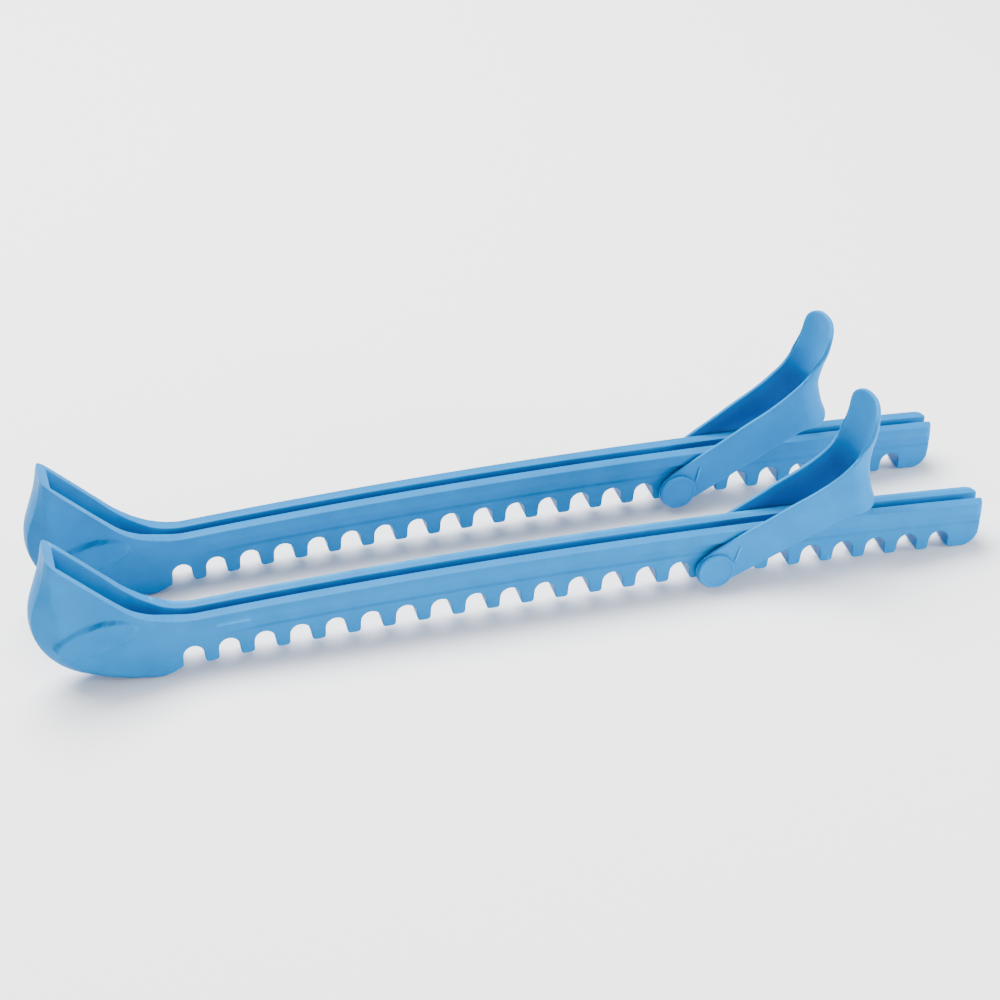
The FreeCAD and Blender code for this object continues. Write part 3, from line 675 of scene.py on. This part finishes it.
def strap(name, place, lean, sink):
    """Heel strap as a band with softened edges.  Lean and sink are how far each millimetre of
    height above LEAN_FROM_Z moves the tab towards the toe and down."""
    upper, under, tail = strap_edges()
    near_end = np.array([0.25, 0.6, 0.85])[:, None]
    upper = np.concatenate([upper[:-1], upper[-2] + (upper[-1] - upper[-2]) * near_end, upper[-1:]])
    under = np.concatenate([under[:-1], under[-2] + (under[-1] - under[-2]) * near_end, under[-1:]])
    v = np.concatenate([[0, 0.006, 0.018, 0.036], np.linspace(0.07, 0.93, 22), [0.964, 0.982, 0.994, 1]])
    left = resample(np.array([under[0], upper[0]]), v)
    right = resample(tail, v)
    grid = coons(under, upper, left, right)
    border = np.concatenate([resample(under, np.linspace(0, 1, 500)), resample(tail, np.linspace(0, 1, 200)),
                             resample(upper[::-1], np.linspace(0, 1, 500))])
    distance = nearest(grid.reshape(-1, 2), border)[0].reshape(grid.shape[:2])
    thick = STRAP_HALF_THICK - edge_loss(distance, STRAP_EDGE)
    p, z = grid[..., 0], grid[..., 1]
    mesh = HalfMesh()
    outer, inner = mesh.add(band_place(p, z, thick)), mesh.add(band_place(p, z, -thick))
    mesh.grid(outer)
    mesh.grid(inner[::-1])
    for a, b in ((outer[:, 0], inner[:, 0]), (outer[:, -1], inner[:, -1]), (outer[-1], inner[-1])):
        mesh.grid(np.stack([a, b]))
    for point in mesh.points:
        over = max(point[2] - LEAN_FROM_Z, 0)
        point[0] -= lean * over
        point[2] -= sink * over
    return mesh.mirrored(name, place, 45)


def index_line(name, place):
    """Small moulded line beside the pin's head, on the near leg of the strap."""
    at = (Matrix.Translation((LINE_PLACE[0], -PIN_MID - STRAP_HALF_THICK, LINE_PLACE[1]))
          @ Matrix.Rotation(math.radians(LINE_LEAN_DEG), 4, "Y"))
    mesh = bpy.data.meshes.new(name)
    work = bmesh.new()
    bmesh.ops.create_cube(work, size=1, matrix=at @ Matrix.Diagonal((*LINE_SIZE, 1)))
    bmesh.ops.bevel(work, geom=work.edges[:], offset=LINE_SOFT, segments=3, affect="EDGES")
    work.to_mesh(mesh)
    work.free()
    return shown(name, mesh, place)


# ---------------------------------------------------------------- pins
def lathed(name, profile, place, segments=72):
    """Turned piece round the pin's axis; profile gives (radius, distance along Y)."""
    turns = np.linspace(0, 2 * math.pi, segments, endpoint=False)
    points, faces = [], []
    for r, y in profile:
        points += [(PIN_X + r * math.cos(a), y, PIN_Z + r * math.sin(a)) for a in turns]
    for k in range(len(profile) - 1):
        for i in range(segments):
            j = (i + 1) % segments
            faces.append((k * segments + i, k * segments + j, (k + 1) * segments + j, (k + 1) * segments + i))
    mesh = bpy.data.meshes.new(name)
    mesh.from_pydata(points, [], faces)
    work = bmesh.new()
    work.from_mesh(mesh)
    bmesh.ops.remove_doubles(work, verts=work.verts, dist=0.0005)
    bmesh.ops.recalc_face_normals(work, faces=work.faces)
    work.to_mesh(mesh)
    work.free()
    return shown(name, mesh, place)


def head_profile(outward):
    """Half of a head's outline, from its middle out and back to its underside."""
    rim = [(0.0, 9.62), (3.0, 9.6), (5.2, 9.5), (5.6, 9.53), (5.85, 9.68), (6.1, HEAD_OUTER),
           (6.3, HEAD_OUTER - 0.02), (6.52, 9.62), (6.66, 9.42), (HEAD_RADIUS, 9.2), (HEAD_RADIUS, 8.62),
           (6.62, 8.5), (6.45, HEAD_INNER), (PIN_RADIUS, HEAD_INNER)]
    return [(r, outward * y) for r, y in rim]


SPIGOT = [(PIN_RADIUS, SPIGOT_START), (SPIGOT_RADIUS, SPIGOT_START), (SPIGOT_RADIUS, SPIGOT_END),
          (0.0, SPIGOT_END)]


# ---------------------------------------------------------------- materials
CLOUD_SCALE = 90.0                           # soft patches, per metre
FLOW_SCALE = (25.0, 160.0, 160.0)            # long marks of the plastic's flow, along X
STREAK_SCALE = (60.0, 2600.0, 2600.0)        # fine scratches, nearly along X
STREAK_TURN = (0.0, 0.06, 0.02)
EDGE_RANGE = (0.535, 0.61)                   # pointiness, from where the lighter edge (wear and painted highlight) starts to its full strength
HOLLOW_SHADE_RANGE = (0.485, 0.42)                 # pointiness, from where painted shade in hollows starts to its darkest
# shares of the colour: random darker and lighter tone, and the painted shade in hollows
DARK_SHARE, LIGHT_SHARE, HOLLOW_SHADE_SHARE = 0.9, 1.07, 0.75


def moulded(name, colour, worn_and_highlight, roughness, grain, scuff):
    """Moulded plastic: fine grain, uneven colour and gloss, lighter edges (partly worn, partly painted
    highlight), painted shade in hollows, faint scuffs.
    """
    material = bpy.data.materials.new(name)
    material.use_nodes = True
    tree = material.node_tree
    shader = tree.nodes["Principled BSDF"]

    def node(kind, inputs=(), **settings):
        made = tree.nodes.new(kind)
        for key, value in settings.items():
            setattr(made, key, value)
        for key, value in dict(inputs).items():
            if isinstance(value, bpy.types.NodeSocket):
                tree.links.new(value, made.inputs[key])
            else:
                made.inputs[key].default_value = value
        return made

    def ranged(value, low, high, to_low, to_high):
        made = node("ShaderNodeMapRange", {"Value": value, "From Min": low, "From Max": high,
                                           "To Min": to_low, "To Max": to_high})
        return made.outputs["Result"]

    def mixed(share, a, b, blend_type="MIX"):
        made = node("ShaderNodeMix", data_type="RGBA", blend_type=blend_type)
        for socket, value in ((made.inputs[0], share), (made.inputs[6], a), (made.inputs[7], b)):
            if isinstance(value, bpy.types.NodeSocket):
                tree.links.new(value, socket)
            else:
                socket.default_value = value
        return made.outputs[2]

    place = node("ShaderNodeTexCoord").outputs["Object"]
    cloud = node("ShaderNodeTexNoise", {"Vector": place, "Scale": CLOUD_SCALE, "Detail": 4.0}).outputs["Fac"]
    flow = node("ShaderNodeTexNoise", {"Vector": node("ShaderNodeMapping", {
        "Vector": place, "Scale": FLOW_SCALE}).outputs["Vector"], "Scale": 1.0,
        "Detail": 3.0}).outputs["Fac"]
    pores = node("ShaderNodeTexNoise", {"Vector": place, "Scale": grain, "Detail": 3.0,
                                        "Roughness": 0.6}).outputs["Fac"]
    streaks = node("ShaderNodeTexNoise", {"Vector": node("ShaderNodeMapping", {
        "Vector": place, "Rotation": STREAK_TURN, "Scale": STREAK_SCALE}).outputs["Vector"],
        "Scale": 1.0, "Detail": 2.0}).outputs["Fac"]
    edge = ranged(node("ShaderNodeNewGeometry").outputs["Pointiness"], *EDGE_RANGE, 0.0, 1.0)
    hollow_shade = ranged(node("ShaderNodeNewGeometry").outputs["Pointiness"], *HOLLOW_SHADE_RANGE, 0.0, 1.0)
    edge_wear_and_highlight = node("ShaderNodeMath", {0: edge, 1: ranged(cloud, 0.35, 0.62, 0.3, 0.7)},
                operation="MULTIPLY").outputs[0]
    scratch = node("ShaderNodeMath", {0: ranged(streaks, 0.66, 0.74, 0.0, scuff),
                                      1: ranged(cloud, 0.45, 0.65, 0.0, 1.0)},
                   operation="MULTIPLY").outputs[0]
    dark = [c * DARK_SHARE for c in colour] + [1.0]
    light = [c * LIGHT_SHARE for c in colour] + [1.0]
    # pale colour for worn edges and scratches, which also paints a highlight along the edges
    pale_wear_and_highlight = [*worn_and_highlight, 1.0]
    shade = mixed(ranged(cloud, 0.3, 0.7, 0.0, 1.0), dark, light)
    shade = mixed(ranged(flow, 0.3, 0.7, 0.0, 0.35), shade, light)
    # painted shade: hollows and creases darkened by their pointiness
    shade = mixed(ranged(hollow_shade, 0.0, 1.0, 0.0, 0.35), shade, [c * HOLLOW_SHADE_SHARE for c in colour] + [1.0])
    # edges lighter: partly worn, partly painted highlight
    shade = mixed(edge_wear_and_highlight, shade, pale_wear_and_highlight)
    shade = mixed(scratch, shade, pale_wear_and_highlight)
    tree.links.new(shade, shader.inputs["Base Color"])
    gloss = node("ShaderNodeMath", {0: ranged(pores, 0.3, 0.7, roughness - 0.05, roughness + 0.06),
                                    1: ranged(flow, 0.3, 0.7, -0.03, 0.03)}, operation="ADD").outputs[0]
    gloss = node("ShaderNodeMath", {0: gloss, 1: ranged(scratch, 0.0, 1.0, 0.0, 0.2)},
                 operation="ADD").outputs[0]
    tree.links.new(gloss, shader.inputs["Roughness"])
    shader.inputs["IOR"].default_value = 1.5
    shader.inputs["Specular IOR Level"].default_value = 0.07
    shader.inputs["Subsurface Weight"].default_value = 0.06
    shader.inputs["Subsurface Radius"].default_value = (0.3, 0.8, 1.0)
    shader.inputs["Subsurface Scale"].default_value = 0.0015
    fine = node("ShaderNodeBump", {"Height": pores, "Strength": 0.35, "Distance": 0.00004})
    broad = node("ShaderNodeBump", {"Height": flow, "Strength": 0.4, "Distance": 0.00012,
                                    "Normal": fine.outputs["Normal"]})
    tree.links.new(broad.outputs["Normal"], shader.inputs["Normal"])
    return material


def finished(obj, material, slot, body, *nodes):
    """Gives a piece its material, its body to ride, and the CAD nodes it stands for; slot is not used."""
    obj.data.materials.clear()
    obj.data.materials.append(material)
    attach(obj, body)
    if nodes:
        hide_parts(*nodes)


def holed(obj, place):
    """Cuts the pin's two eyelets through a strap."""
    turns = np.linspace(0, 2 * math.pi, 40, endpoint=False)
    ring = [(PIN_X + EYELET_RADIUS * math.cos(a), PIN_Z + EYELET_RADIUS * math.sin(a)) for a in turns]
    count = len(ring)
    mesh = bpy.data.meshes.new("eyelet_tool")
    faces = [(i, (i + 1) % count, (i + 1) % count + count, i + count) for i in range(count)]
    mesh.from_pydata([(x, y, z) for y in (-EYELET_TOOL_HALF, EYELET_TOOL_HALF) for x, z in ring], [],
                     faces + [tuple(range(count))[::-1], tuple(range(count, 2 * count))])
    mesh.transform(place)
    tool = bpy.data.objects.new("eyelet_tool", mesh)
    bpy.context.scene.collection.objects.link(tool)
    cut = obj.modifiers.new("eyelets", "BOOLEAN")
    cut.operation, cut.object, cut.solver = "DIFFERENCE", tool, "EXACT"
    bpy.context.view_layer.update()
    done = bpy.data.meshes.new_from_object(obj.evaluated_get(bpy.context.evaluated_depsgraph_get()))
    obj.modifiers.clear()
    obj.data = done
    bpy.data.objects.remove(tool)
    bpy.data.meshes.remove(mesh)


# ---------------------------------------------------------------- the pair
RAIL_BLUE = (0.0005, 0.158, 0.41)
STRAP_BLUE = (0.0005, 0.168, 0.44)
# pale blue of worn edges and scratches, and of the painted highlight along edges
WORN_AND_HIGHLIGHT_BLUE = (0.01, 0.32, 0.68)
rail_blue = moulded("moulded_rail", RAIL_BLUE, WORN_AND_HIGHLIGHT_BLUE, 0.46, 2600.0, 0.12)
strap_blue = moulded("moulded_strap", STRAP_BLUE, WORN_AND_HIGHLIGHT_BLUE, 0.5, 2200.0, 0.12)
pin_blue = moulded("moulded_pin", STRAP_BLUE, WORN_AND_HIGHLIGHT_BLUE, 0.42, 3000.0, 0.1)
# of each strap: the tab's lean to the toe, its droop, and how far the strap is swung up
POSTURE = {"a": (0.09, 0.028, -2.0), "b": (-0.07, 0.088, 2.0)}

hinges = {joint["name"]: joint for joint in frame["joints"]}
for side, (lean, sink, lift) in POSTURE.items():
    hinge = hinges["strap_swing_" + side]
    yaw = math.atan2(hinge["axis"][0], -hinge["axis"][1])
    place = (Matrix.Translation(hinge["pos_m"]) @ Matrix.Rotation(yaw, 4, "Z")
             @ Matrix.Scale(MM, 4) @ Matrix.Translation((-PIN_X, 0, -PIN_Z)))
    finished(guard_rail("guard_rail_" + side, place), rail_blue, "rail_plastic",
             "guard_" + side, "rail_" + side)
    swung = (place @ Matrix.Translation((PIN_X, 0, PIN_Z)) @ Matrix.Rotation(math.radians(-lift), 4, "Y")
             @ Matrix.Translation((-PIN_X, 0, -PIN_Z)))
    band = strap("strap_band_" + side, swung, lean, sink)
    holed(band, swung)
    finished(band, strap_blue, "strap_rubber", "strap_" + side, "heel_strap_" + side)
    finished(index_line("index_line_" + side, swung), strap_blue, "strap_rubber", "strap_" + side)
    finished(lathed("pin_" + side, head_profile(-1) + SPIGOT, place), pin_blue, "pin_plastic",
             "strap_" + side, "cross_pin_" + side)
    finished(lathed("cap_" + side, head_profile(1) + SPIGOT, place), pin_blue, "pin_plastic",
             "strap_" + side, "pin_cap_" + side)

# ---------------------------------------------------------------- floor, light and camera
FLOOR_ALBEDO = 0.95
FLOOR_HALF = 6
FLOOR_GAP = 0.0002                           # below the guards, so that the faces don't coincide
SKY_STRENGTH = 0.65
CAMERA_PLACE = (-0.18389, -0.70255, 0.49975)
CAMERA_LENS = 86.83

paper = bpy.data.materials.new("floor_paper")
paper.use_nodes = True
paper_shader = paper.node_tree.nodes["Principled BSDF"]
paper_shader.inputs["Base Color"].default_value = (FLOOR_ALBEDO, FLOOR_ALBEDO, FLOOR_ALBEDO, 1)
paper_shader.inputs["Roughness"].default_value = 0.8
floor_mesh = bpy.data.meshes.new("floor")
floor_corners = [(x * FLOOR_HALF, y * FLOOR_HALF, 0) for x, y in ((-1, -1), (1, -1), (1, 1), (-1, 1))]
floor_mesh.from_pydata(floor_corners, [], [(0, 1, 2, 3)])
floor_mesh.materials.append(paper)
floor = bpy.data.objects.new("floor", floor_mesh)
floor.location.z = -FLOOR_GAP
bpy.context.scene.collection.objects.link(floor)

world = bpy.data.worlds.new("studio")
bpy.context.scene.world = world
world.use_nodes = True
sky = world.node_tree.nodes["Background"]
sky.inputs["Color"].default_value = (1.0, 1.0, 1.0, 1)
sky.inputs["Strength"].default_value = SKY_STRENGTH


def softbox(name, place, aim, width, height, watts):
    """A rectangular soft light at a place, turned to its aim."""
    light = bpy.data.lights.new(name, "AREA")
    light.shape = "RECTANGLE"
    light.size, light.size_y, light.energy = width, height, watts
    lamp = bpy.data.objects.new(name, light)
    lamp.location = place
    lamp.rotation_mode = "QUATERNION"
    lamp.rotation_quaternion = (Vector(aim) - Vector(place)).to_track_quat("-Z", "Y")
    bpy.context.scene.collection.objects.link(lamp)


softbox("key", (0.95, -0.5, 0.22), (0.0, 0, 0.02), 0.35, 0.3, 16)
softbox("front", (0.1, -0.8, 0.14), (0.05, 0, 0.02), 0.6, 0.25, 3)
softbox("top", (-0.35, 0.6, 1.4), (0, 0, 0), 1.6, 1.0, 98)

lens = bpy.data.cameras.new("camera")
lens.lens = CAMERA_LENS
lens.sensor_width = 36
camera = bpy.data.objects.new("camera", lens)
right = Vector((0.96704, -0.25447, -0.00920))
up = Vector((0.14604, 0.52467, 0.83869))
back = Vector((-0.20860, -0.81238, 0.54454))
camera.matrix_world = (Matrix.Translation(CAMERA_PLACE)
                       @ Matrix((right, up, back)).transposed().to_4x4())
bpy.context.scene.collection.objects.link(camera)
bpy.context.scene.camera = camera
